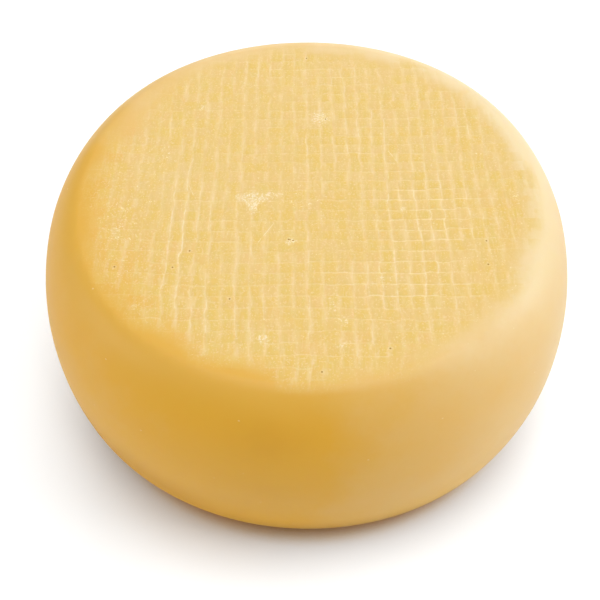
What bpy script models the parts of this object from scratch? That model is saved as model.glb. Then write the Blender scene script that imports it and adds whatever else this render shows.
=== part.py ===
"""A small farmhouse cheese wheel, uncut: one solid of pressed curd.

The wheel stands on its flat underside, with the origin at the middle of that
face and +Z up. Its section is a flat underside and a nearly flat top, joined by
a bulging side with a rounded shoulder above and below. The section is turned
about Z, and the result is then made slightly uneven, as a wheel is that was
drained in a cloth-lined mould and turned by hand.
"""

import math

import bmesh
import bpy
from mathutils import Vector

# Driving sizes, in metres.
DIAMETER = 0.200
HEIGHT = 0.096              # underside to the highest place of the top
FLAT_DIAMETER = 0.160       # of the underside, and of the top inside its shoulder
SIDE_EXPONENT = 1.15        # 1 gives the side an elliptical bulge, 2 a straight slope

# Unevenness.
ROUNDNESS_WAVES = (         # waves round the rim, their depth, direction of the first crest
    (2, 0.0002, math.radians(70)),
    (3, 0.0003, math.radians(-40)),
    (4, 0.0007, math.radians(44)),
)
TOP_SAG = 0.0008            # how far the middle of the top lies below its rim

# Fineness of the faceted solid.
STEPS_ROUND = 96
STEPS_SIDE = 26             # between the two flats
RINGS_TOP = 5               # across the flat of the top, from its rim to its middle

SHARP_ANGLE = math.radians(40)

RIND_COLOUR = (0.80, 0.56, 0.21, 1.0)
RIND_ROUGHNESS = 0.42
RIND_SUBSURFACE = 0.15
RIND_SCATTER_DEPTH = 0.004


def clear_scene():
    for obj in list(bpy.data.objects):
        bpy.data.objects.remove(obj, do_unlink=True)


def side_point(share):
    """Radius and height at a share of the way up the side, 0 to 1."""
    swing = math.pi * (share - 0.5)
    flat_radius = FLAT_DIAMETER / 2
    bulge = DIAMETER / 2 - flat_radius
    radius = flat_radius + bulge * math.cos(swing) ** SIDE_EXPONENT
    return radius, HEIGHT / 2 * (1 + math.sin(swing))


def top_height(radius):
    """Height of the top at a distance from its middle: a very shallow dish."""
    share = radius / (FLAT_DIAMETER / 2)
    return HEIGHT - TOP_SAG * (1 - share ** 2) ** 2


def section():
    """Half of the wheel's section, from the underside's rim to the top's middle."""
    points = [side_point(step / STEPS_SIDE) for step in range(STEPS_SIDE + 1)]
    for ring in range(1, RINGS_TOP + 1):
        radius = FLAT_DIAMETER / 2 * (1 - ring / RINGS_TOP)
        points.append((radius, top_height(radius)))
    return points


def rim_offset(angle):
    """How far the rim stands out from a true circle at an angle about Z."""
    return sum(depth * math.cos(waves * (angle - crest)) for waves, depth, crest in ROUNDNESS_WAVES)


def turned_wheel():
    """The section spun once about Z, and the underside closed by one flat face."""
    bm = bmesh.new()
    points = [bm.verts.new((radius, 0.0, height)) for radius, height in section()]
    edges = [bm.edges.new(pair) for pair in zip(points, points[1:])]
    bmesh.ops.spin(
        bm, geom=points + edges, cent=(0, 0, 0), axis=(0, 0, 1),
        angle=math.tau, steps=STEPS_ROUND, use_merge=True,
    )
    bmesh.ops.remove_doubles(bm, verts=bm.verts, dist=1e-6)
    bmesh.ops.holes_fill(bm, edges=[edge for edge in bm.edges if edge.is_boundary], sides=0)
    bmesh.ops.recalc_face_normals(bm, faces=bm.faces)
    return bm


def make_uneven(bm):
    """Move each point in or out in proportion to its distance from the axis."""
    for vert in bm.verts:
        offset = rim_offset(math.atan2(vert.co.y, vert.co.x))
        scale = 1 + offset / (DIAMETER / 2)
        vert.co.x *= scale
        vert.co.y *= scale


def centre_over_origin(bm):
    """Bring the middle of the uneven wheel's box back over the origin."""
    xs = [vert.co.x for vert in bm.verts]
    ys = [vert.co.y for vert in bm.verts]
    middle = Vector((min(xs) + max(xs), min(ys) + max(ys), 0)) / 2
    bmesh.ops.translate(bm, verts=bm.verts, vec=-middle)


def rind_material():
    material = bpy.data.materials.new("waxy_rind")
    material.use_nodes = True
    shader = material.node_tree.nodes["Principled BSDF"]
    shader.inputs["Base Color"].default_value = RIND_COLOUR
    shader.inputs["Roughness"].default_value = RIND_ROUGHNESS
    shader.inputs["Metallic"].default_value = 0.0
    shader.inputs["Subsurface Weight"].default_value = RIND_SUBSURFACE
    shader.inputs["Subsurface Scale"].default_value = RIND_SCATTER_DEPTH
    material.diffuse_color = RIND_COLOUR
    return material


def build_cheese_wheel():
    bm = turned_wheel()
    make_uneven(bm)
    centre_over_origin(bm)
    mesh = bpy.data.meshes.new("cheese_wheel")
    bm.to_mesh(mesh)
    bm.free()
    mesh.shade_smooth()
    mesh.set_sharp_from_angle(angle=SHARP_ANGLE)
    mesh.materials.append(rind_material())
    wheel = bpy.data.objects.new("cheese_wheel", mesh)
    bpy.context.collection.objects.link(wheel)
    return wheel


clear_scene()
build_cheese_wheel()
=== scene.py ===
import math
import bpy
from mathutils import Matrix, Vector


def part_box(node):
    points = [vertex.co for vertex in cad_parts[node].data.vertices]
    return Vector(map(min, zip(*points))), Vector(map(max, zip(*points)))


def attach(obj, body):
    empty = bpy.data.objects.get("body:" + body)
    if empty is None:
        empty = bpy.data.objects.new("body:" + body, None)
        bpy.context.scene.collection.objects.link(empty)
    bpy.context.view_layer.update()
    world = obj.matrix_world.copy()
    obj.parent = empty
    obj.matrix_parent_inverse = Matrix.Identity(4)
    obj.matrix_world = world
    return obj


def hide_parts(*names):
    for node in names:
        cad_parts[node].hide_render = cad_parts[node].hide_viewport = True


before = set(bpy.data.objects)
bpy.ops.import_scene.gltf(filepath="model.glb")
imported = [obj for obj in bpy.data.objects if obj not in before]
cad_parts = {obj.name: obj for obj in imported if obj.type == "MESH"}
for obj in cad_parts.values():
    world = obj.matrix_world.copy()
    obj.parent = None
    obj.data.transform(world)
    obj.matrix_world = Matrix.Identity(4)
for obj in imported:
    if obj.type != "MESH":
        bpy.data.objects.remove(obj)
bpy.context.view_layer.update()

from types import SimpleNamespace

import bpy
import numpy as np
from mathutils import Vector

wheelLow, wheelHigh = (np.array(corner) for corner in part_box("cheese_wheel"))
wheelHeight = (wheelHigh - wheelLow)[2]


# numbers and noise

def smoothStep(low, high, value):
    share = np.clip((np.asarray(value, float) - low) / (high - low), 0, 1)
    return share * share * (3 - 2 * share)


def softHills(x, y, across, seed):
    # smooth random hills from -1 to 1, about this many metres from one to the next
    size = 64
    grid = np.random.default_rng(seed).uniform(-1, 1, (size, size))
    px, py = np.asarray(x) / across + (size + 1) / 2, np.asarray(y) / across + (size + 1) / 2
    col, row = np.floor(px).astype(int), np.floor(py).astype(int)
    fx, fy = smoothStep(0, 1, px - col), smoothStep(0, 1, py - row)
    left, right, low, high = col % size, (col + 1) % size, row % size, (row + 1) % size
    near = grid[low, left] * (1 - fx) + grid[low, right] * fx
    far = grid[high, left] * (1 - fx) + grid[high, right] * fx
    return near * (1 - fy) + far * fy


# the wheel's plain form, as the frame's solid has it

form = {
    "flatShare": 0.80,          # flat of the top and the underside, as a share of the whole width
    "sideExponent": 1.15,       # 1 is an elliptical bulge
    # out of round: how many waves, how deep, direction of the first crest in degrees
    "waves": ((2, 0.0002, 70), (3, 0.0003, -40), (4, 0.0007, 44)),
    "topSag": 0.0008,           # the middle of the top lies lower than its rim
    "around": 288,              # steps round the side
    "sideRows": 64,
    "firstRow": 0.001,          # from the rim of the print's fine mesh to the side's first row
    "dent": 0.00035,            # soft hollows of the side, from handling
    "dentAcross": 0.035,        # and how far they are from one to the next
    "dentSeed": 77,
    "hair": 0.00002,            # the finished piece stays this far inside the frame's box
}
# the fourfold wave draws the rim in just where the box is measured
wheelRadius = (wheelHigh - wheelLow)[:2].mean() / 2 + form["waves"][2][1]
flatRadius = form["flatShare"] * wheelRadius


def sideProfile(swing):
    # radius and height on the side, from -90 degrees at the underside to 90 at the top
    radius = flatRadius + (wheelRadius - flatRadius) * np.maximum(np.cos(swing), 0) ** form["sideExponent"]
    return radius, wheelHeight / 2 * (1 + np.sin(swing))


shoulderSwing = np.linspace(math.pi / 2, 0, 500)
shoulderRadius, shoulderHeight = sideProfile(shoulderSwing)


def capHeight(radius, sag):
    # height of the top over its flat and on over the shoulder
    share = np.clip(radius / flatRadius, 0, 1)
    return np.interp(radius, shoulderRadius, shoulderHeight) - sag * (1 - share ** 2) ** 2


def outOfRound(x, y):
    # how much wider than a true circle the wheel is in each point's direction
    angle = np.arctan2(y, x)
    return 1 + sum(d * np.cos(n * (angle - math.radians(a))) for n, d, a in form["waves"]) / wheelRadius


# the draining cloth and the print that it leaves

cloth = {
    "square": 0.0463 * wheelRadius,     # one square of the cloth
    "reach": 1.035,             # the fine mesh runs this far out, as a share of the flat's radius
    "fade": (0.89, 1.03),       # the print fades out between these, same share
    "worn": 0.09,               # and this much sooner on the left
    "steadyRim": (0.88, 0.98),  # the threads run straight towards the rim of the mesh, shares of its reach
    "groove": 0.00011,          # how deep the clearest threads have pressed in
    "crossDepth": 0.7,          # the fainter ones across them, as a share of that
    "grooveHalf": (0.10, 0.28), # least and greatest half width of a groove, in squares
    "crossHalf": 0.08,          # half width of those across
    "pillow": 0.00010,          # how far the cheese has swollen up between the threads
    "leastPillow": 0.1,         # and its share where the print is smeared
    "dips": (0.00012, 0.007),   # shallow dips under the print: depth, distance from one to the next
    "tornUp": (0.0001, 0.0011), # how far the torn places stand up, and their grain
    "bands": 0.40,              # how clear the bands along the threads are, away from the patches below
    "crossLined": 0.16,         # and the lines across them
    "bandVaries": (0.35, 0.25), # how much that changes from one stretch to the next, and between threads
    "crossVaries": (0.5, 0.2),
    "uneven": ((0.16, 0.022), (0.14, 0.008)),   # and slowly over the top: how much, distance between changes
    "ragged": (0.05, 0.012),    # the same for the place where the print fades out
    "jog": 0.06,                # sideways step of a thread from one square to the next, in squares
    "crossJog": 0.07,
    "bow": 0.07,                # how far a stretch bows out between two crossings
    "bend": 0.30,               # slow wander of the threads, in squares
    # its waves: distance from one to the next, then share and distance of the smaller ones
    "bendWaves": (0.05, 0.4, 0.018),
    "crossBendWaves": (0.06, 0.3, 0.02),
    "lines": (0, 0.07, 0.15, 0.32, 0.5, 0.68, 0.85, 0.93),      # mesh lines across one square
    "crossLines": (0, 0.09, 0.30, 0.5, 0.70, 0.91),
    "underLines": (0, 0.12, 0.5, 0.88),
    "seed": 11,
    "underSeed": 61,
}

# where the print is clear or, below 0, smeared: x, y and half width and length in wheel radii, then how much
# clearer the bands are and how much clearer the lines across them
clearPatches = (
    (0.28, -0.41, 0.22, 0.13, 0.45, 0.80), (0.38, -0.12, 0.20, 0.20, 0.30, 0.75),
    (-0.42, -0.12, 0.09, 0.26, 0.50, 0.10), (0.16, 0.24, 0.25, 0.15, 0.08, 0.04),
    (-0.20, 0.05, 0.20, 0.15, 0.05, 0.15), (-0.07, -0.66, 0.13, 0.10, 0.04, 0.30),
    (-0.59, 0.15, 0.22, 0.30, -0.15, -0.10), (0.02, -0.10, 0.14, 0.14, -0.22, -0.05),
    (0.75, 0.10, 0.14, 0.50, -0.15, -0.15), (0.00, 0.75, 0.50, 0.15, -0.12, -0.05),
    (0.58, -0.55, 0.25, 0.20, -0.10, -0.12), (-0.62, -0.45, 0.16, 0.20, -0.10, -0.05),
)
# torn, crumbly places: x, y and half width and length in wheel radii, strength
scuffs = (
    (-0.20, -0.04, 0.070, 0.030, 1.0), (-0.19, -0.09, 0.020, 0.035, 0.7), (-0.11, -0.02, 0.040, 0.016, 0.6),
    (0.05, 0.37, 0.045, 0.045, 0.9), (-0.06, -0.24, 0.024, 0.022, 0.8), (-0.14, -0.64, 0.030, 0.022, 0.7),
    (-0.55, -0.51, 0.030, 0.025, 0.5), (-0.65, -0.21, 0.035, 0.040, 0.5), (0.08, -0.50, 0.030, 0.080, 0.5),
    (0.10, -0.66, 0.035, 0.022, 0.5), (-0.39, 0.42, 0.026, 0.024, 0.5), (0.12, -0.57, 0.025, 0.025, 0.5),
    (0.335, -0.095, 0.024, 0.024, 0.7), (0.24, -0.40, 0.050, 0.026, 0.5), (-0.40, -0.24, 0.030, 0.020, 0.4),
)
# pin holes: x, y in wheel radii
pits = (
    (0.07, 0.365), (-0.63, -0.35), (-0.39, -0.28), (-0.25, -0.48), (-0.44, -0.35), (0.60, -0.24),
    (0.59, -0.34), (0.04, -0.76), (0.25, -0.67), (0.0, 0.72), (-0.05, -0.235), (-0.065, -0.23),
)
pitRadius = 0.00030
pitReach = 8                    # marks round a pin hole end this many of its radii away


def patchSum(x, y, patches, which=4):
    total = np.zeros_like(x)
    for patch in patches:
        px, py, half, length = patch[:4]
        away = np.hypot((x / wheelRadius - px) / half, (y / wheelRadius - py) / length)
        total += patch[which] * np.exp(-away ** 2)
    return total


class Threads:
    # random numbers for the stretches of thread between crossings, read at any place

    def __init__(self, seed):
        self.half = 40          # threads and crossings on each side of the middle
        self.quick = 0.16       # a thread takes this part of a square to change at a crossing
        self.rng = np.random.default_rng(seed)

    def table(self):
        return self.rng.uniform(0, 1, (2 * self.half, 2 * self.half))

    def alongThread(self, table, thread, along):
        # steps quickly from one stretch to the next at each crossing
        crossing = np.floor(along + 0.5).astype(int)
        over = smoothStep(-self.quick, self.quick, along - crossing)
        before = table[thread + self.half, crossing - 1 + self.half]
        after = table[thread + self.half, crossing + self.half]
        return before * (1 - over) + after * over

    def nearest(self, table, across, along):
        return self.alongThread(table, np.floor(across + 0.5).astype(int), along)

    def varied(self, amounts, across, along):
        # swings about 0, from one stretch to the next and from one whole thread to the next
        byStretch, byThread = amounts
        stretch = self.nearest(self.table(), across, along)
        whole = self.nearest(np.repeat(self.table()[:, :1], 2 * self.half, 1), across, along)
        return byStretch * (stretch - 0.5) + byThread * (whole - 0.5)

    def between(self, table, across, along):
        left = np.floor(across).astype(int)
        share = across - left
        first = self.alongThread(table, left, along)
        second = self.alongThread(table, left + 1, along)
        return first * (1 - share) + second * share

    def bowed(self, table, across, along):
        # out to one side and back between two crossings
        part = along - np.floor(along)
        return (self.between(table, across, along) - 0.5) * 8 * part * (1 - part)

    def square(self, table, across, along):
        return table[np.floor(across).astype(int) + self.half, np.floor(along).astype(int) + self.half]


def grooveShape(coordinate, half):
    away = np.abs(coordinate - np.round(coordinate))
    return np.clip(1 - (away / half) ** 2, 0, 1)


def pillowShape(u, v):
    return (1 - (2 * (u - np.floor(u)) - 1) ** 4) * (1 - (2 * (v - np.floor(v)) - 1) ** 4)


def nearestPit(x, y, pitList):
    # the way to the nearest pin hole, in its radii, and whether it is close by
    toX, toY = np.full_like(x, 2.0 * pitReach), np.full_like(x, 2.0 * pitReach)
    for px, py in pitList:
        dx, dy = (x - px * wheelRadius) / pitRadius, (y - py * wheelRadius) / pitRadius
        closer = np.hypot(dx, dy) < np.hypot(toX, toY)
        toX, toY = np.where(closer, dx, toX), np.where(closer, dy, toY)
    near = (np.hypot(toX, toY) < pitReach).astype(float)
    return toX, toY, near


def wander(x, y, waves, seed):
    # broad hills with smaller ones on them
    across, share, smallAcross = waves
    return softHills(x, y, across, seed) + share * softHills(x, y, smallAcross, seed + 1)


def bentThreads(threads, x, y, u, v, seed):
    # how far the threads stand off their straight lines, in squares
    aside = (threads.between(threads.table(), u, v) - 0.5) * 2 * cloth["jog"]
    crossAside = (threads.between(threads.table(), v, u) - 0.5) * 2 * cloth["crossJog"]
    aside += cloth["bow"] * threads.bowed(threads.table(), u, v)
    crossAside += cloth["bow"] * threads.bowed(threads.table(), v, u)
    aside += cloth["bend"] * wander(x, y, cloth["bendWaves"], seed + 1)
    crossAside += cloth["bend"] * wander(x, y, cloth["crossBendWaves"], seed + 3)
    return aside, crossAside


def makePrint(lines, crossLines, seed, sag, patches, scuffList, pitList):
    # a lattice of mesh lines, close together at the threads, with the print's relief and masks
    reach = flatRadius * cloth["reach"]
    square = cloth["square"]
    count = int(reach / square) + 1
    along = np.array([k + part for k in range(-count, count) for part in lines] + [count])
    across = np.array([k + part for k in range(-count, count) for part in crossLines] + [count])
    u, v = np.meshgrid(along, across, indexing="ij")
    x, y = square * u, square * v

    # only whole quads inside the reach stay, and the stepped rim is drawn out to a true circle
    inside = np.hypot(x, y) <= reach
    quad = inside[:-1, :-1] & inside[1:, :-1] & inside[:-1, 1:] & inside[1:, 1:]
    near = np.pad(quad, 1).astype(int)
    touching = near[:-1, :-1] + near[1:, :-1] + near[:-1, 1:] + near[1:, 1:]
    used = touching > 0
    rim = used & (touching < 4)
    draw = np.where(rim, reach / np.maximum(np.hypot(x, y), 1e-9), 1)
    steady = square * (1 - smoothStep(*cloth["steadyRim"], np.hypot(x, y) / reach))

    threads = Threads(seed)
    aside, crossAside = bentThreads(threads, x, y, u, v, seed)
    x, y = x * draw + steady * aside, y * draw + steady * crossAside
    radius = np.hypot(x, y)

    # how clear the print is, from place to place and from stretch to stretch
    (much, across), (less, nearby) = cloth["uneven"]
    uneven = much * softHills(x, y, across, seed + 5) + less * softHills(x, y, nearby, seed + 6)
    clear = cloth["bands"] + patchSum(x, y, patches, 4) + uneven
    lined = cloth["crossLined"] + patchSum(x, y, patches, 5) + uneven
    swing, across = cloth["ragged"]
    out = radius / flatRadius + swing * softHills(x, y, across, seed + 7)
    start, end = cloth["fade"]
    shown = 1 - smoothStep(start - cloth["worn"] * np.clip(-x / flatRadius, 0, 1), end, out)
    ridge = np.clip(clear + threads.varied(cloth["bandVaries"], u, v), 0, 1) * shown
    cross = np.clip(lined + threads.varied(cloth["crossVaries"], v, u), 0, 1) * shown
    thin, wide = cloth["grooveHalf"]
    width = thin + (wide - thin) * threads.nearest(threads.table(), u, v)
    core = threads.nearest(threads.table(), u, v) - 0.5
    tint = threads.square(threads.table(), u, v)

    # relief
    crossGroove = cloth["crossDepth"] * grooveShape(v, cloth["crossHalf"]) * cross
    groove = np.maximum(grooveShape(u, width) * ridge, crossGroove)
    pillow = pillowShape(u, v) * np.clip(clear, cloth["leastPillow"], 1) * shown
    z = capHeight(radius, sag) - cloth["pillow"] * (1 - pillow) * shown - cloth["groove"] * groove
    scuff = np.clip(patchSum(x, y, scuffList), 0, 1) * shown
    up, across = cloth["tornUp"]
    z += up * scuff * softHills(x, y, across, seed + 8)
    deep, across = cloth["dips"]
    z -= deep * (0.5 + 0.5 * softHills(x, y, across, seed + 9)) * shown
    pitX, pitY, pitNear = nearestPit(x, y, pitList)

    masks = {
        "weave": (u, v, shown),
        "marks": (ridge, cross, scuff),
        "thread": (width, core, tint),
        "pits": (pitX, pitY, pitNear),
        "rindTone": (np.zeros_like(x), np.clip(clear, 0, 1), np.zeros_like(x)),
    }
    number = np.cumsum(used.ravel()).reshape(used.shape) - 1
    i, j = np.nonzero(quad)
    return {
        "points": np.stack([x, y, z], -1)[used],
        "masks": {name: np.stack(parts, -1)[used] for name, parts in masks.items()},
        "faces": np.stack([number[i, j], number[i + 1, j], number[i + 1, j + 1], number[i, j + 1]], 1),
        "rim": number[rim],
        "rimAngle": np.arctan2(v, u)[rim],
    }


def sewRims(inner, innerAngle, outer, outerAngle):
    # triangles between two rims, each given in the order of its angle
    faces, i, j = [], 0, 0
    while i < len(inner) or j < len(outer):
        nextInner = innerAngle[i + 1] if i + 1 < len(inner) else innerAngle[(i + 1) % len(inner)] + math.tau
        nextOuter = outerAngle[j + 1] if j + 1 < len(outer) else outerAngle[(j + 1) % len(outer)] + math.tau
        if j >= len(outer) or (i < len(inner) and nextInner <= nextOuter):
            faces.append((inner[(i + 1) % len(inner)], inner[i % len(inner)], outer[j % len(outer)]))
            i += 1
        else:
            faces.append((outer[j % len(outer)], outer[(j + 1) % len(outer)], inner[i % len(inner)]))
            j += 1
    return faces


class WheelMesh:
    # gathers points, faces and masks of the wheel

    def __init__(self):
        self.points, self.faces, self.total = [], [], 0
        self.masks = {name: [] for name in ("weave", "marks", "thread", "pits", "rindTone")}

    def add(self, points, masks=None):
        numbers = np.arange(self.total, self.total + len(points))
        self.points.append(points)
        for name, rows in self.masks.items():
            rows.append(masks[name] if masks else np.zeros((len(points), 3)))
        self.total += len(points)
        return numbers

    def addCap(self, cap, under):
        # puts in a cap and gives back its rim, in the order of its angle
        points, faces = cap["points"], cap["faces"]
        if under:
            points, faces = points * (1, 1, -1) + (0, 0, wheelHeight), faces[:, ::-1]
        numbers = self.add(points, cap["masks"])
        self.faces += numbers[faces].tolist()
        order = np.argsort(cap["rimAngle"])
        return numbers[cap["rim"]][order], cap["rimAngle"][order]


# how pale the rind is: the flats and the right side are painted paler, as painted light, and the left and
# front of the side deeper, as painted shade; the mottle is the rind's own

tone = {
    "flat": 0.66,               # of the flats, from 0 for deep golden rind to 1 for pale
    "lean": 0.9,                # how far the flats take on a deeper tone of the side near them
    "leanBelow": 0.5,           # sides paler than this leave them as they are
    # tone of the side at some directions, in degrees about the wheel's axis: painted light, pale on the
    # right, and painted shade, deep on the left and front
    "side": ((0, 0.82), (12, 0.99), (30, 0.97), (60, 0.64), (80, 0.46), (105, 0.40), (140, 0.36), (160, 0.20),
             (180, 0.02), (255, 0.02), (264, 0.05), (272, 0.12), (285, 0.24), (300, 0.35), (315, 0.52),
             (330, 0.70), (345, 0.77), (360, 0.82)),
    "edge": (0.82, 1.04),       # from flat to side, as shares of the flat's radius
    "paleEdge": 0.12,           # it starts this much further out where the side is pale
    "edgeRagged": (0.02, 0.011),    # how uneven it is, and the distance from one change to the next
    "mottle": (0.05, 0.03),     # broad and smaller changes of tone: how much, distance between them
    "smallMottle": (0.03, 0.011),
    "seed": 31,
    # deep brown painted shade patches of the side, on the front and the lower left front: direction, height,
    # half width in degrees, half height, strength
    "stains": ((264, 0.058, 13, 0.015, 0.2), (264, 0.083, 11, 0.010, 0.32), (245, 0.018, 16, 0.022, 0.7),
               (231, 0.032, 14, 0.018, 0.55), (212, 0.035, 16, 0.017, 0.5), (188, 0.060, 14, 0.014, 0.25)),
    "stainEdge": (0.98, 1.05),  # they keep to the side, from here outwards in shares of the flat's radius
    # deeper and paler places of the flats: x, y and half width and length in wheel radii, how much paler
    "places": ((-0.60, -0.38, 0.16, 0.16, -0.18), (-0.52, 0.08, 0.13, 0.16, 0.25),
               (-0.33, -0.68, 0.22, 0.08, 0.30), (0.62, -0.55, 0.12, 0.14, -0.30),
               (0.68, -0.12, 0.08, 0.10, -0.20), (0.15, -0.85, 0.25, 0.08, 0.20)),
}


def rindTone(points):
    # how far out each point lies, as a share of the flat's radius, and its tone, which holds painted light
    # and shade
    x, y, height = points.T
    out = np.hypot(x, y) / flatRadius
    direction = np.degrees(np.arctan2(y, x)) % 360
    # painted light and shade: pale on the lit right of the side, deep on its shaded left and front
    side = np.interp(direction, *zip(*tone["side"]))
    flat = tone["flat"] + tone["lean"] * np.minimum(side - tone["leanBelow"], 0) * np.clip(out, 0, 1) ** 4
    flat += patchSum(x, y, tone["places"])
    swing, across = tone["edgeRagged"]
    start, end = tone["edge"]
    ragged = out + swing * softHills(x, y, across, tone["seed"])
    onSide = smoothStep(start + tone["paleEdge"] * side, end, ragged)
    pale = flat * (1 - onSide) + side * onSide
    swing, across = tone["mottle"]
    pale += swing * softHills(x, y + 0.3 * height, across, tone["seed"] + 1)
    swing, across = tone["smallMottle"]
    pale += swing * softHills(x, y + height, across, tone["seed"] + 2)
    # painted shade patches on the front and lower left front of the side
    paintedShade = np.zeros_like(x)
    for middle, level, half, tall, strength in tone["stains"]:
        aside = (direction - middle + 180) % 360 - 180
        paintedShade += strength * np.exp(-(aside / half) ** 2 - ((height - level) / tall) ** 2)
    return out, pale - paintedShade * smoothStep(*tone["stainEdge"], out)


def makeWheel():
    mesh = WheelMesh()
    lines, crossLines, underLines = cloth["lines"], cloth["crossLines"], cloth["underLines"]
    top = makePrint(lines, crossLines, cloth["seed"], form["topSag"], clearPatches, scuffs, pits)
    under = makePrint(underLines, underLines, cloth["underSeed"], 0, (), (), ())
    topRim, topAngle = mesh.addCap(top, False)
    underRim, underAngle = mesh.addCap(under, True)

    # the side, one ring below the other
    firstRadius = flatRadius * cloth["reach"] + form["firstRow"]
    firstSwing = np.interp(firstRadius, shoulderRadius, shoulderSwing)
    angle = np.linspace(-math.pi, math.pi, form["around"], endpoint=False)
    x, y = np.cos(angle), np.sin(angle)
    rings = []
    for swing in np.linspace(firstSwing, -firstSwing, form["sideRows"]):
        radius, height = sideProfile(swing)
        hollows = 0.5 + 0.5 * softHills(0.1 * x, 0.1 * y + height, form["dentAcross"], form["dentSeed"])
        r = radius - form["dent"] * hollows * smoothStep(firstSwing, 0.5 * firstSwing, abs(swing))
        rings.append(mesh.add(np.stack([r * x, r * y, np.full_like(r, height)], -1)))
    for upper, lower in zip(rings, rings[1:]):
        mesh.faces += np.stack([upper, lower, np.roll(lower, -1), np.roll(upper, -1)], 1).tolist()
    mesh.faces += sewRims(topRim, topAngle, rings[0], angle)
    mesh.faces += [face[::-1] for face in sewRims(underRim, underAngle, rings[-1], angle)]

    points = np.concatenate(mesh.points)
    masks = {name: np.concatenate(rows) for name, rows in mesh.masks.items()}
    masks["rindTone"][:, 0], masks["rindTone"][:, 2] = rindTone(points)
    points[:, :2] *= outOfRound(points[:, 0], points[:, 1])[:, None]
    low, high = points.min(0), points.max(0)
    room = (wheelHigh - wheelLow - 2 * form["hair"]) / (high - low)
    points = (points - low) * room + wheelLow + form["hair"]

    data = bpy.data.meshes.new("cheese")
    data.from_pydata(points.tolist(), [], mesh.faces)
    for name, rows in masks.items():
        layer = data.attributes.new(name, "FLOAT_VECTOR", "POINT")
        layer.data.foreach_set("vector", rows.ravel())
    data.shade_smooth()
    cheese = bpy.data.objects.new("cheese", data)
    bpy.context.scene.collection.objects.link(cheese)
    return cheese


# node helpers

def addNode(tree, kind, settings=None, **inputs):
    # inputs are named as on the node, with _ for a space, or in0, in1 by number
    node = tree.nodes.new(kind)
    for name, value in (settings or {}).items():
        setattr(node, name, value)
    for name, value in inputs.items():
        socket = node.inputs[int(name[2:])] if name.startswith("in") else node.inputs[name.replace("_", " ")]
        if isinstance(value, bpy.types.NodeSocket):
            tree.links.new(value, socket)
        else:
            socket.default_value = value
    return node


def calc(tree, operation, first, second=0.0, third=0.0):
    node = addNode(tree, "ShaderNodeMath", {"operation": operation}, in0=first, in1=second, in2=third)
    return node.outputs[0]


def times(tree, *values):
    product = values[0]
    for value in values[1:]:
        product = calc(tree, "MULTIPLY", product, value)
    return product


def middled(tree, value):
    return calc(tree, "SUBTRACT", value, 0.5)


def fade(tree, value, low, high, start=0.0, end=1.0):
    # settings for this hold low and high, then start and end if they aren't 0 and 1
    node = addNode(tree, "ShaderNodeMapRange", {"interpolation_type": "SMOOTHSTEP"}, Value=value,
                   From_Min=low, From_Max=high, To_Min=start, To_Max=end)
    return node.outputs["Result"]


def mixColor(tree, factor, first, second):
    node = addNode(tree, "ShaderNodeMix", {"data_type": "RGBA"}, in0=factor, in6=first, in7=second)
    return node.outputs[2]


def noise(tree, where, scale, detail=3.0, roughness=0.6):
    return addNode(tree, "ShaderNodeTexNoise", None, Vector=where, Scale=scale, Detail=detail,
                   Roughness=roughness).outputs[0]


def stretched(tree, where, scale):
    return addNode(tree, "ShaderNodeVectorMath", {"operation": "MULTIPLY"}, in0=where, in1=scale).outputs[0]


def threeParts(tree, name):
    layer = addNode(tree, "ShaderNodeAttribute", {"attribute_name": name}).outputs["Vector"]
    return addNode(tree, "ShaderNodeSeparateXYZ", None, Vector=layer).outputs


def newGroup(name, inputs, outputs):
    tree = bpy.data.node_groups.new(name, "ShaderNodeTree")
    for label, kind, value in inputs:
        socket = tree.interface.new_socket(label, in_out="INPUT", socket_type=kind)
        if value is not None:
            socket.default_value = value
    for label, kind in outputs:
        tree.interface.new_socket(label, in_out="OUTPUT", socket_type=kind)
    return tree, tree.nodes.new("NodeGroupInput").outputs, tree.nodes.new("NodeGroupOutput").inputs


def group(tree, source, **inputs):
    return addNode(tree, "ShaderNodeGroup", {"node_tree": source}, **inputs).outputs["Mask"]


# shared effects

def threadLineGroup():
    # a ragged line along each whole number of Coordinate
    tree, given, out = newGroup("threadLine", [
        ("Coordinate", "NodeSocketFloat", None),
        ("Half Width", "NodeSocketFloat", 0.1),
        ("Softness", "NodeSocketFloat", 0.5),
        ("Strength", "NodeSocketFloat", 1.0),
        ("Ragged", "NodeSocketFloat", 0.0),
    ], [("Mask", "NodeSocketFloat")])
    shift, swell = 0.06, 1.2    # how far raggedness moves the line, in squares, and how much it widens it
    shifted = calc(tree, "MULTIPLY_ADD", given["Ragged"], shift, given["Coordinate"])
    away = calc(tree, "PINGPONG", shifted, 0.5)
    width = times(tree, given["Half Width"], calc(tree, "MULTIPLY_ADD", given["Ragged"], swell, 1.0))
    edge = calc(tree, "DIVIDE", away, calc(tree, "MAXIMUM", width, 0.01))
    line = fade(tree, edge, calc(tree, "SUBTRACT", 1.0, given["Softness"]),
                calc(tree, "ADD", 1.0, given["Softness"]), 1.0, 0.0)
    tree.links.new(times(tree, line, given["Strength"]), out["Mask"])
    return tree


def speckGroup():
    # scattered small specks
    tree, given, out = newGroup("specks", [
        ("Place", "NodeSocketVector", None),
        ("Spacing", "NodeSocketFloat", 0.002),
        ("Size", "NodeSocketFloat", 0.2),
        ("Share", "NodeSocketFloat", 0.3),
    ], [("Mask", "NodeSocketFloat")])
    scale = calc(tree, "DIVIDE", 1.0, given["Spacing"])
    cells = addNode(tree, "ShaderNodeTexVoronoi", {"feature": "F1"}, Vector=given["Place"], Scale=scale)
    spot = fade(tree, cells.outputs["Distance"], times(tree, given["Size"], 0.6), given["Size"], 1.0, 0.0)
    keep = addNode(tree, "ShaderNodeSeparateColor", None, Color=cells.outputs["Color"]).outputs[0]
    chosen = calc(tree, "LESS_THAN", keep, given["Share"])
    tree.links.new(times(tree, spot, chosen), out["Mask"])
    return tree


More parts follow.
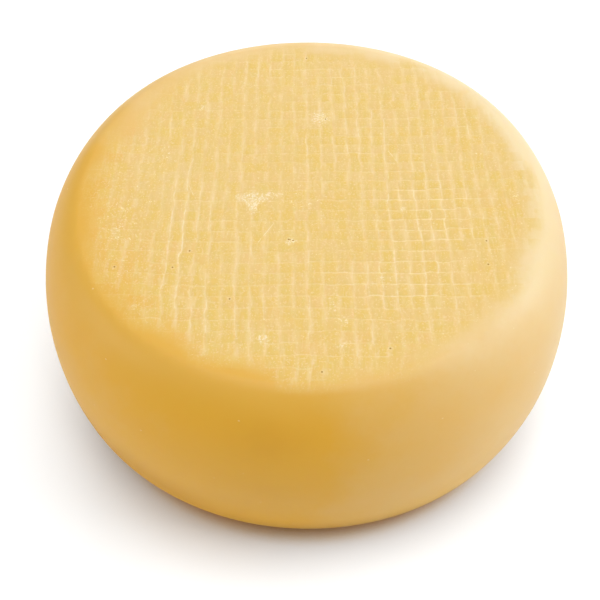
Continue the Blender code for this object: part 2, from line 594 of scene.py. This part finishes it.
def curlGroup():
    # thin curly shreds, where Density lets them show
    tree, given, out = newGroup("curls", [
        ("Place", "NodeSocketVector", None),
        ("Spacing", "NodeSocketFloat", 0.002),
        ("Thickness", "NodeSocketFloat", 0.02),
        ("Density", "NodeSocketFloat", 0.5),
    ], [("Mask", "NodeSocketFloat")])
    scale = calc(tree, "DIVIDE", 1.0, given["Spacing"])
    hills = addNode(tree, "ShaderNodeTexNoise", None, Vector=given["Place"], Scale=scale, Detail=1.5,
                    Distortion=1.5).outputs[0]
    away = calc(tree, "ABSOLUTE", middled(tree, hills))
    shred = fade(tree, away, times(tree, given["Thickness"], 0.4), given["Thickness"], 1.0, 0.0)
    broken = noise(tree, given["Place"], calc(tree, "MULTIPLY", scale, 1.7), 2.0)
    shows = fade(tree, calc(tree, "ADD", broken, given["Density"]), 1.0, 1.08)
    tree.links.new(times(tree, shred, shows), out["Mask"])
    return tree


def scratchGroup():
    # one fine straight scratch, seen from above
    tree, given, out = newGroup("scratch", [
        ("Place", "NodeSocketVector", None),
        ("Start", "NodeSocketVector", None),
        ("Run", "NodeSocketVector", None),
        ("Half Width", "NodeSocketFloat", 0.0002),
    ], [("Mask", "NodeSocketFloat")])

    def vector(operation, **inputs):
        return addNode(tree, "ShaderNodeVectorMath", {"operation": operation}, **inputs)

    flat = vector("MULTIPLY", in0=given["Place"], in1=(1, 1, 0)).outputs[0]
    fromStart = vector("SUBTRACT", in0=flat, in1=given["Start"]).outputs[0]
    along = vector("DOT_PRODUCT", in0=fromStart, in1=given["Run"]).outputs["Value"]
    length = vector("DOT_PRODUCT", in0=given["Run"], in1=given["Run"]).outputs["Value"]
    clamped = {"operation": "DIVIDE", "use_clamp": True}
    share = addNode(tree, "ShaderNodeMath", clamped, in0=along, in1=length).outputs[0]
    nearest = vector("SCALE", in0=given["Run"], Scale=share).outputs[0]
    away = vector("DISTANCE", in0=fromStart, in1=nearest).outputs["Value"]
    half = given["Half Width"]
    tree.links.new(fade(tree, away, times(tree, half, 0.3), half, 1.0, 0.0), out["Mask"])
    return tree


# the rind

rind = {
    # deep and pale rind, mixed by a tone that holds painted light and shade as well as the rind's own mottle
    "deepColor": (0.660, 0.338, 0.014, 1),
    "paleColor": (0.670, 0.512, 0.276, 1),
    "mottle": 0.22,             # how much the noises below change its tone
    "fineMottle": 0.06,
    # the shoulder band: painted sheen where the rind is pale, on the right, and painted shade where it is
    # deep, on the left front
    "shoulderShade": (0.620, 0.354, 0.054, 1),
    "shoulderSheen": (0.730, 0.598, 0.360, 1),
    "shoulderTones": (0.0, 0.86),   # from deep to pale over these tones of the rind
    "shoulderStart": (0.88, 0.97),  # where it starts and ends, in shares of the flat's radius
    "shoulderEnd": (1.02, 1.18),
    "shoulder": 0.9,
    "shoulderOut": 0.035,       # it starts this much further out on pale rind
    "shoulderHeights": (0.060, 0.075),
    # painted shade: deeper rind low down on the side, painted shade patches, and a painted contact shadow
    # round the foot that the wheel stands on
    "lowShadeColor": (0.650, 0.318, 0.010, 1),
    "lowHeights": (0.018, 0.056),
    "lowTones": (0.05, 0.3),    # only rind deeper than this has it
    "lowDull": 0.4,             # and all of it is this much duller there
    "stainColor": (0.540, 0.258, 0.006, 1),
    "stainTones": (-0.75, 0.0),     # full at the first of these tones, none at the second
    "footShadeColor": (0.320, 0.142, 0.005, 1),
    "footShadeHeights": (0.010, 0.038),
    "footShadeOut": (1.0, 1.06),     # and only on the side
    # noises that several effects share: how fine they are
    "mottleScale": 70.0,
    "fineScale": 420.0,
    "raggedScale": 900.0,
    "grainScale": 1500.0,
    "streakScale": 500.0,
    "streakStretch": (1.0, 0.3, 1.0),
    "broken": (0.38, 0.56, 0.25, 1.0),  # fine marks are broken up by this much of the fine noise
    # finish
    "roughness": 0.44,
    "dryRoughness": 0.12,       # more of it where the cloth has printed
    "fineRoughness": 0.08,
    "gloss": 0.36,
    "refraction": 1.45,
    "bump": 0.2,                # of the noises, and their part in it
    "bumpDepth": 0.00015,
    "fineBump": 0.5,
    "grainBump": 0.25,
    "tornBump": 1.2,
    "scatter": 0.2,             # light that goes into the rind and out again beside it
    "scatterDepth": 0.003,
    "scatterReach": (1.0, 0.5, 0.15),
}


def rindParts(tree):
    # what the mesh tells the material about each place, and the noises
    parts = SimpleNamespace()
    parts.place = tree.nodes.new("ShaderNodeTexCoord").outputs["Object"]
    parts.height = addNode(tree, "ShaderNodeSeparateXYZ", None, Vector=parts.place).outputs["Z"]
    parts.threadU, parts.threadV, parts.shown = threeParts(tree, "weave")
    parts.ridge, parts.cross, parts.scuff = threeParts(tree, "marks")
    parts.width, parts.core, parts.tint = threeParts(tree, "thread")
    parts.pitX, parts.pitY, parts.pitNear = threeParts(tree, "pits")
    parts.out, parts.clear, parts.pale = threeParts(tree, "rindTone")
    parts.fine = noise(tree, parts.place, rind["fineScale"])
    parts.grain = noise(tree, parts.place, rind["grainScale"], 2.0, 0.55)
    parts.ragged = middled(tree, noise(tree, parts.place, rind["raggedScale"]))
    parts.streak = noise(tree, stretched(tree, parts.place, rind["streakStretch"]), rind["streakScale"])
    parts.broken = fade(tree, parts.fine, *rind["broken"])
    return parts


def plainRind(tree, parts):
    # golden or pale, with its shoulder band of painted sheen and shade, painted shade low down, a painted
    # contact shadow at the foot, and painted shade patches
    mottle = middled(tree, noise(tree, parts.place, rind["mottleScale"], 4.0))
    pale = calc(tree, "MULTIPLY_ADD", mottle, rind["mottle"], parts.pale)
    pale = calc(tree, "MULTIPLY_ADD", middled(tree, parts.fine), rind["fineMottle"], pale)
    # painted shade: deep rind goes darker low down on the side
    lowDown = fade(tree, parts.height, *rind["lowHeights"], 1.0, 0.0)
    lowDown = times(tree, lowDown, fade(tree, pale, *rind["lowTones"], 1.0, 0.0))
    deep = mixColor(tree, lowDown, rind["deepColor"], rind["lowShadeColor"])
    color = mixColor(tree, pale, deep, rind["paleColor"])

    # the shoulder band: painted sheen on pale rind, painted shade on deep rind
    inward = calc(tree, "MULTIPLY_ADD", pale, -rind["shoulderOut"], parts.out)
    shoulder = fade(tree, inward, *rind["shoulderStart"])
    shoulder = times(tree, shoulder, fade(tree, parts.out, *rind["shoulderEnd"], rind["shoulder"], 0.0))
    shoulder = times(tree, shoulder, fade(tree, parts.height, *rind["shoulderHeights"]))
    edge = fade(tree, pale, *rind["shoulderTones"])
    edge = mixColor(tree, edge, rind["shoulderShade"], rind["shoulderSheen"])
    color = mixColor(tree, shoulder, color, edge)

    # painted contact shadow: the rind darkens towards the floor
    footShadow = fade(tree, parts.height, *rind["footShadeHeights"], 1.0, 0.0)
    footShadow = times(tree, footShadow, fade(tree, parts.out, *rind["footShadeOut"]))
    color = mixColor(tree, footShadow, color, rind["footShadeColor"])
    # painted shade patches, where the tone has been pushed below 0
    stain = fade(tree, pale, *rind["stainTones"], 1.0, 0.0)
    return mixColor(tree, stain, color, rind["stainColor"])


# the cloth's print on the rind: colours, and how much of each shows

printLook = {
    "squareColor": (0.630, 0.447, 0.133, 1),
    "squareVaries": (0.4, 0.6),     # least cover of a square, and how much more it may have
    "squareStreaks": 1.6,
    "squareClear": (-0.3, 0.5),     # how clear the print has to be
    "goldColor": (0.655, 0.435, 0.100, 1),
    "goldScale": 330.0,
    "goldNoise": (0.44, 0.66),
    "goldVaries": 0.26,
    "gold": 0.5,
    "shadowAndStrokeColor": (0.605, 0.415, 0.105, 1),
    "shadeAside": 0.20,         # a painted shadow line lies this far beside each band, in squares, where the groove's wall is in shade
    "shadeHalf": 0.12,
    "shade": 0.3,
    "bandColor": (0.725, 0.545, 0.290, 1),
    "bandRidge": (0.02, 0.55),
    "bandStreaks": (0.34, 0.58, 0.1, 1.0),
    "band": 0.55,
    "strokeScale": 1100.0,      # pale and deep strokes along the threads
    "strokeStretch": (1.0, 0.18, 1.0),
    "strokeStreaks": (0.40, 0.60, 0.3, 1.0),
    "paleNoise": (0.50, 0.64),
    "paleStrokes": 0.32,
    "deepNoise": (0.36, 0.48, 1.0, 0.0),
    "deepStrokes": 0.2,
    "crossColor": (0.745, 0.600, 0.335, 1),
    "crossHalf": 0.05,
    "cross": 0.8,
    "spineColor": (0.775, 0.665, 0.430, 1),
    "spineHalf": (0.025, 0.035),    # half width of the crisp line in a band: least, and more if it is clear
    "spineAside": 0.16,         # how far it lies off the band's middle
    "spineRidge": (0.30, 1.05),
    "spineFine": (0.40, 0.58, 0.30, 1.0),
    "spine": 0.56,
}


def printedSquares(tree, parts, threadLine, color):
    # squares of the cloth, each a little different and streaky, with a painted shadow along one side of the
    # bands
    least, more = printLook["squareVaries"]
    cover = calc(tree, "MULTIPLY_ADD", parts.tint, more, least)
    cover = calc(tree, "MULTIPLY_ADD", middled(tree, parts.streak), printLook["squareStreaks"], cover)
    square = times(tree, parts.shown, fade(tree, parts.clear, *printLook["squareClear"]), cover)
    color = mixColor(tree, square, color, printLook["squareColor"])
    golden = noise(tree, parts.place, printLook["goldScale"], 2.0, 0.55)
    golden = calc(tree, "MULTIPLY_ADD", middled(tree, parts.tint), printLook["goldVaries"], golden)
    golden = times(tree, parts.shown, fade(tree, golden, *printLook["goldNoise"]), printLook["gold"])
    color = mixColor(tree, golden, color, printLook["goldColor"])
    # painted shadow line beside each band; its colour also serves the deep print strokes
    beside = calc(tree, "SUBTRACT", parts.threadU, printLook["shadeAside"])
    shade = group(tree, threadLine, Coordinate=beside, Half_Width=printLook["shadeHalf"], Softness=1.0,
                  Strength=parts.ridge, Ragged=parts.ragged)
    return mixColor(tree, times(tree, shade, printLook["shade"]), color, printLook["shadowAndStrokeColor"])


def threadMarks(tree, parts, threadLine, color):
    # the bands and cross lines that the threads have left
    band = group(tree, threadLine, Coordinate=parts.threadU, Half_Width=parts.width, Softness=1.0,
                 Strength=fade(tree, parts.ridge, *printLook["bandRidge"]), Ragged=parts.ragged)
    band = times(tree, band, fade(tree, parts.streak, *printLook["bandStreaks"]), printLook["band"])
    color = mixColor(tree, band, color, printLook["bandColor"])
    strokes = noise(tree, stretched(tree, parts.place, printLook["strokeStretch"]), printLook["strokeScale"],
                    3.0, 0.7)
    light = times(tree, parts.shown, fade(tree, strokes, *printLook["paleNoise"]), printLook["paleStrokes"])
    light = times(tree, light, fade(tree, parts.streak, *printLook["strokeStreaks"]))
    color = mixColor(tree, light, color, printLook["bandColor"])
    dark = times(tree, parts.shown, fade(tree, strokes, *printLook["deepNoise"]), printLook["deepStrokes"])
    color = mixColor(tree, dark, color, printLook["shadowAndStrokeColor"])
    line = group(tree, threadLine, Coordinate=parts.threadV, Half_Width=printLook["crossHalf"], Softness=0.5,
                 Strength=parts.cross, Ragged=parts.ragged)
    line = times(tree, line, parts.broken, printLook["cross"])
    color = mixColor(tree, line, color, printLook["crossColor"])
    aside = calc(tree, "MULTIPLY_ADD", parts.core, printLook["spineAside"], parts.threadU)
    sharp = times(tree, fade(tree, parts.ridge, *printLook["spineRidge"]),
                  fade(tree, parts.fine, *printLook["spineFine"]))
    least, more = printLook["spineHalf"]
    half = calc(tree, "MULTIPLY_ADD", parts.ridge, more, least)
    spine = group(tree, threadLine, Coordinate=aside, Half_Width=half, Softness=0.5, Strength=sharp,
                  Ragged=parts.ragged)
    return mixColor(tree, times(tree, spine, printLook["spine"]), color, printLook["spineColor"])


# what lies on the rind and in it

dryBits = {
    "speckColor": (0.790, 0.670, 0.400, 1),
    "tornColor": (0.780, 0.680, 0.470, 1),
    "pitColor": (0.340, 0.180, 0.020, 1),
    "fleckGrain": (0.56, 0.67),
    "flecks": 0.6,              # dry grain of the print
    "smear": (0.15, 0.6, 1.0, 0.35),    # how smeared the print is, from how clear it is
    "shredSpacing": 0.0026,
    "shredThickness": 0.024,
    "shredDensity": 0.46,       # where the print is smeared, and then at the torn places
    "tornDensity": 0.45,
    "shreds": 0.75,
    "film": 0.14,               # thin pale film of the torn places, ragged at its edge, and their crumbs
    "filmRagged": 0.8,
    "filmEdge": (0.25, 0.75),
    "torn": 0.65,
    "tornNear": 0.06,           # there are a few more where the film is thicker
    "tornGrain": (0.56, 0.66),
    "dust": {"Spacing": 0.0016, "Size": 0.13, "Share": 0.35},
    "specks": {"Spacing": 0.008, "Size": 0.052, "Share": 0.5},
    "speckStretch": (1.0, 1.0, 2.0),
    "speck": 0.45,
    "scratchHalf": 0.0002,
    "scratch": 0.6,
    # scratches on the top: where they start and how far they run, in wheel radii
    "scratches": ((-0.165, -0.245, 0.050, 0.085), (0.33, 0.13, -0.03, 0.06), (-0.42, 0.02, 0.02, -0.05)),
    # a pin hole and the paler ring round it, in radii of the hole
    "hole": (0.6, 1.4, 1.0, 0.0),
    "lip": (1.2, 3.5, 1.0, 0.0),
    "pitLip": 0.2,
}


def crumbs(tree, parts, color):
    # dry grain, shreds, torn places, dust and specks
    smear = fade(tree, parts.clear, *dryBits["smear"])
    fleck = times(tree, parts.shown, fade(tree, parts.grain, *dryBits["fleckGrain"]), dryBits["flecks"])
    color = mixColor(tree, fleck, color, printLook["bandColor"])
    density = times(tree, parts.scuff, dryBits["tornDensity"])
    density = calc(tree, "MULTIPLY_ADD", smear, dryBits["shredDensity"], density)
    shred = group(tree, curlGroup(), Place=parts.place, Spacing=dryBits["shredSpacing"],
                  Thickness=dryBits["shredThickness"], Density=density)
    color = mixColor(tree, times(tree, shred, parts.shown, dryBits["shreds"]), color, dryBits["speckColor"])
    film = calc(tree, "MULTIPLY_ADD", middled(tree, parts.fine), dryBits["filmRagged"], parts.scuff)
    film = fade(tree, film, *dryBits["filmEdge"])
    color = mixColor(tree, times(tree, film, dryBits["film"]), color, dryBits["tornColor"])
    crumb = calc(tree, "MULTIPLY_ADD", film, dryBits["tornNear"], parts.grain)
    parts.torn = times(tree, fade(tree, crumb, *dryBits["tornGrain"]), film)
    color = mixColor(tree, times(tree, parts.torn, dryBits["torn"]), color, dryBits["tornColor"])
    specks = speckGroup()
    dust = times(tree, group(tree, specks, Place=parts.place, **dryBits["dust"]), parts.shown, smear)
    drawn = stretched(tree, parts.place, dryBits["speckStretch"])
    speck = times(tree, group(tree, specks, Place=drawn, **dryBits["specks"]), dryBits["speck"])
    return mixColor(tree, calc(tree, "MAXIMUM", dust, speck), color, dryBits["speckColor"])


def scratchesAndPits(tree, parts, color):
    # fine scratches of the top and its pin holes
    scratch, half = scratchGroup(), dryBits["scratchHalf"]
    for x, y, alongX, alongY in dryBits["scratches"]:
        start, run = (x * wheelRadius, y * wheelRadius, 0), (alongX * wheelRadius, alongY * wheelRadius, 0)
        line = group(tree, scratch, Place=parts.place, Start=start, Run=run, Half_Width=half)
        line = times(tree, line, parts.broken, dryBits["scratch"])
        color = mixColor(tree, line, color, printLook["spineColor"])
    squared = calc(tree, "ADD", times(tree, parts.pitX, parts.pitX), times(tree, parts.pitY, parts.pitY))
    away = calc(tree, "SQRT", squared)
    lip = times(tree, fade(tree, away, *dryBits["lip"]), parts.pitNear, dryBits["pitLip"])
    color = mixColor(tree, lip, color, printLook["spineColor"])
    hole = times(tree, fade(tree, away, *dryBits["hole"]), parts.pitNear)
    return mixColor(tree, hole, color, dryBits["pitColor"])


def rindMaterial():
    material = bpy.data.materials.new("waxyRind")
    material.use_nodes = True
    tree = material.node_tree
    shader = tree.nodes["Principled BSDF"]
    parts, threadLine = rindParts(tree), threadLineGroup()
    color = plainRind(tree, parts)
    color = printedSquares(tree, parts, threadLine, color)
    color = threadMarks(tree, parts, threadLine, color)
    color = crumbs(tree, parts, color)
    color = scratchesAndPits(tree, parts, color)
    tree.links.new(color, shader.inputs["Base Color"])

    plain = rind["roughness"]
    roughness = fade(tree, parts.height, *rind["lowHeights"], plain + rind["lowDull"], plain)
    roughness = calc(tree, "MULTIPLY_ADD", parts.shown, rind["dryRoughness"], roughness)
    roughness = calc(tree, "MULTIPLY_ADD", parts.fine, rind["fineRoughness"], roughness)
    tree.links.new(roughness, shader.inputs["Roughness"])
    relief = calc(tree, "ADD", times(tree, parts.fine, rind["fineBump"]),
                  times(tree, parts.grain, rind["grainBump"]))
    relief = calc(tree, "MULTIPLY_ADD", parts.torn, rind["tornBump"], relief)
    bump = addNode(tree, "ShaderNodeBump", None, Strength=rind["bump"], Distance=rind["bumpDepth"],
                   Height=relief)
    tree.links.new(bump.outputs[0], shader.inputs["Normal"])
    shader.inputs["Subsurface Weight"].default_value = rind["scatter"]
    shader.inputs["Subsurface Scale"].default_value = rind["scatterDepth"]
    shader.inputs["Subsurface Radius"].default_value = rind["scatterReach"]
    shader.inputs["Specular IOR Level"].default_value = rind["gloss"]
    shader.inputs["IOR"].default_value = rind["refraction"]
    return material


# stage, light and camera

stage = {
    "floorSize": 2.2,
    "floorRoughness": 0.9,
    "floorGloss": 0.1,
    "contactRays": 8,
    "contactReach": 0.012,      # painted contact shadow: the floor's colour darkens where the wheel is this close over it
    # its painted shadow colours: share of open air above, colour
    "contactShadow": ((0.10, (0.09, 0.02, 0.001, 1)), (0.34, (0.48, 0.20, 0.02, 1)), (0.50, (0.79, 0.63, 0.42, 1)),
                (0.66, (0.94, 0.95, 0.95, 1)), (0.90, (0.95, 0.98, 1.0, 1))),
    "sky": 0.22,                # light from all round
    "backdrop": 1.0,            # and how bright the camera sees it
    "boxSize": 1.3,
    "boxAway": 2.2,
    "boxHeight": 0.05,          # of the place that the softboxes point at
    # softboxes: name, direction and height in degrees, power
    "boxes": (("above", 0, 88, 30.0), ("right", 0, 20, 20.0), ("rightAbove", 0, 50, 11.0),
              ("behind", 90, 20, 17.0), ("left", 190, 20, 17.5), ("front", 270, 20, 5.5)),
}
view = {
    "lens": 50.87,              # millimetres on a 36 mm sensor
    "pitch": 53.82,             # degrees below level
    "away": 3.3806,             # from the wheel's middle along the line of sight, in wheel radii
    "aside": -0.0246,           # to the right and up across it
    "above": -0.1136,
}


def makeFloor():
    half = stage["floorSize"] / 2
    data = bpy.data.meshes.new("floor")
    corners = [(-half, -half, 0), (half, -half, 0), (half, half, 0), (-half, half, 0)]
    data.from_pydata(corners, [], [(0, 1, 2, 3)])
    floor = bpy.data.objects.new("floor", data)
    bpy.context.scene.collection.objects.link(floor)
    material = bpy.data.materials.new("paleFloor")
    material.use_nodes = True
    tree = material.node_tree
    shader = tree.nodes["Principled BSDF"]
    # painted contact shadow: the floor's colour follows how much open air is above it
    openAir = addNode(tree, "ShaderNodeAmbientOcclusion", {"samples": stage["contactRays"]},
                      Distance=stage["contactReach"])
    ramp = addNode(tree, "ShaderNodeValToRGB", None, Fac=openAir.outputs["AO"])
    stops = ramp.color_ramp.elements
    for place, color in stage["contactShadow"]:
        stop = stops.new(place)
        stop.color = color
    stops.remove(stops[-1])
    stops.remove(stops[0])
    tree.links.new(ramp.outputs["Color"], shader.inputs["Base Color"])
    shader.inputs["Roughness"].default_value = stage["floorRoughness"]
    shader.inputs["Specular IOR Level"].default_value = stage["floorGloss"]
    data.materials.append(material)


def makeSoftbox(name, azimuth, elevation, power):
    data = bpy.data.lights.new(name, "AREA")
    data.size, data.energy = stage["boxSize"], power
    light = bpy.data.objects.new(name, data)
    azimuth, elevation = math.radians(azimuth), math.radians(elevation)
    towards = Vector((math.cos(azimuth) * math.cos(elevation), math.sin(azimuth) * math.cos(elevation),
                      math.sin(elevation)))
    light.location = towards * stage["boxAway"] + Vector((0, 0, stage["boxHeight"]))
    light.rotation_euler = towards.to_track_quat("Z", "Y").to_euler()
    light.visible_camera = False
    bpy.context.scene.collection.objects.link(light)


def makeSky():
    world = bpy.data.worlds.new("studio")
    bpy.context.scene.world = world
    world.use_nodes = True
    tree = world.node_tree
    light = tree.nodes["Background"]
    light.inputs["Color"].default_value = (1, 1, 1, 1)
    light.inputs["Strength"].default_value = stage["sky"]
    seen = addNode(tree, "ShaderNodeBackground", None, Color=(1, 1, 1, 1), Strength=stage["backdrop"])
    toCamera = tree.nodes.new("ShaderNodeLightPath").outputs["Is Camera Ray"]
    both = addNode(tree, "ShaderNodeMixShader", None, in0=toCamera, in1=light.outputs[0], in2=seen.outputs[0])
    tree.links.new(both.outputs[0], tree.nodes["World Output"].inputs["Surface"])


def makeCamera():
    pitch = math.radians(view["pitch"])
    forward = Vector((0, math.cos(pitch), -math.sin(pitch)))
    up = Vector((0, math.sin(pitch), math.cos(pitch)))
    middle = Vector((wheelLow + wheelHigh) / 2)
    offset = Vector((view["aside"], 0, 0)) + up * view["above"] - forward * view["away"]
    data = bpy.data.cameras.new("camera")
    data.lens, data.sensor_width, data.clip_start = view["lens"], 36, 0.01
    camera = bpy.data.objects.new("camera", data)
    camera.location = middle + offset * wheelRadius
    camera.rotation_euler = (math.pi / 2 - pitch, 0, 0)
    bpy.context.scene.collection.objects.link(camera)
    bpy.context.scene.camera = camera
    bpy.context.scene.view_settings.view_transform = "Standard"


makeCamera()
makeFloor()
makeSky()
for softbox in stage["boxes"]:
    makeSoftbox(*softbox)
print("camera, floor and lights ready")

cheese = makeWheel()
cheese.data.materials.append(rindMaterial())
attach(cheese, "root")
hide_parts("cheese_wheel")
print("wheel ready:", len(cheese.data.polygons), "faces")
